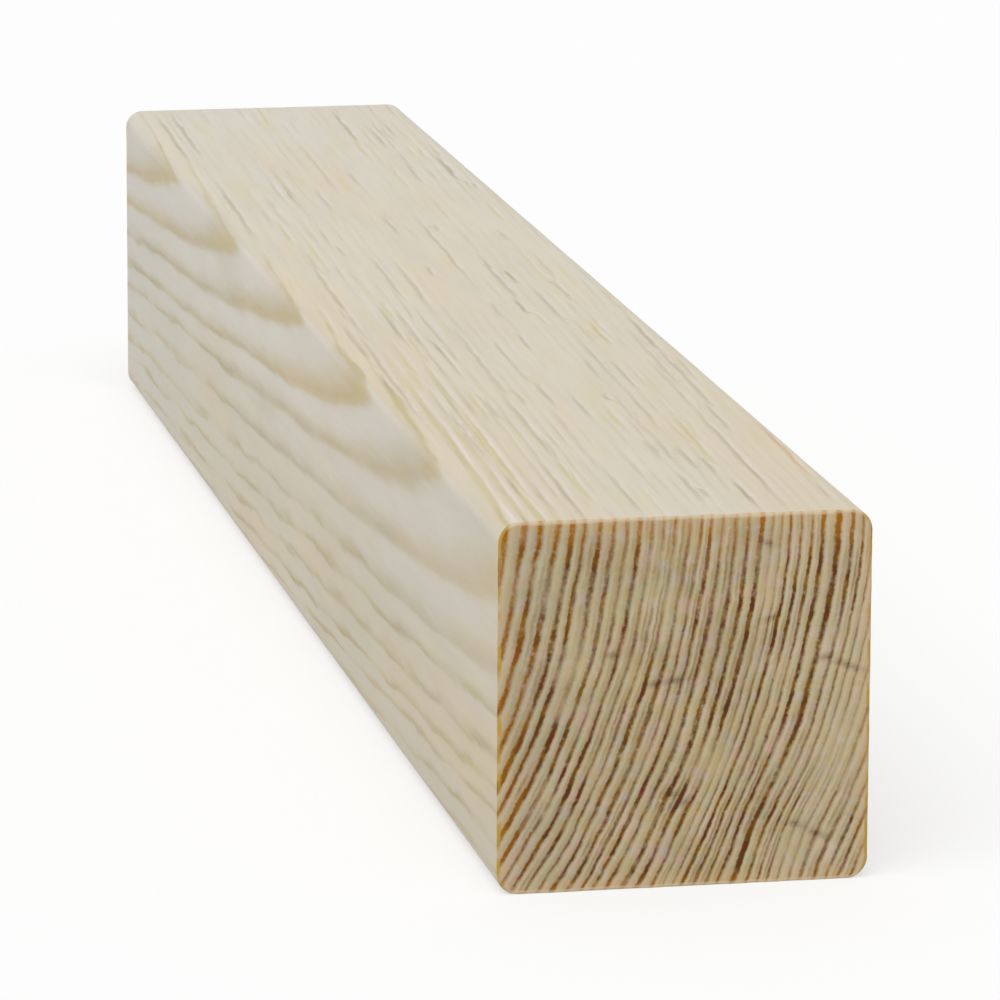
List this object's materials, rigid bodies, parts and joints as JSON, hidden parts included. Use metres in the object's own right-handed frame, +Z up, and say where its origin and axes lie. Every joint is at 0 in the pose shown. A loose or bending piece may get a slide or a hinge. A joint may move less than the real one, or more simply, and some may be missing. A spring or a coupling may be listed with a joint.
{
  "type": "planed square timber",
  "caption": "Short cut of planed square softwood timber with rounded long arrises and square saw-cut ends, used as a batten, post or framing member.",
  "frame": {"origin": "middle of the long face that the timber lies on", "axes": "+Z up from that face, +Y along the grain to the far sawn end, +X across the grain to the right-hand face"},
  "size_m": [0.044, 0.3, 0.044],
  "materials": {
    "planed_pine": "matte"
  },
  "bodies": {
    "root": {"timber_plank": "planed_pine"}
  },
  "joints": []
}
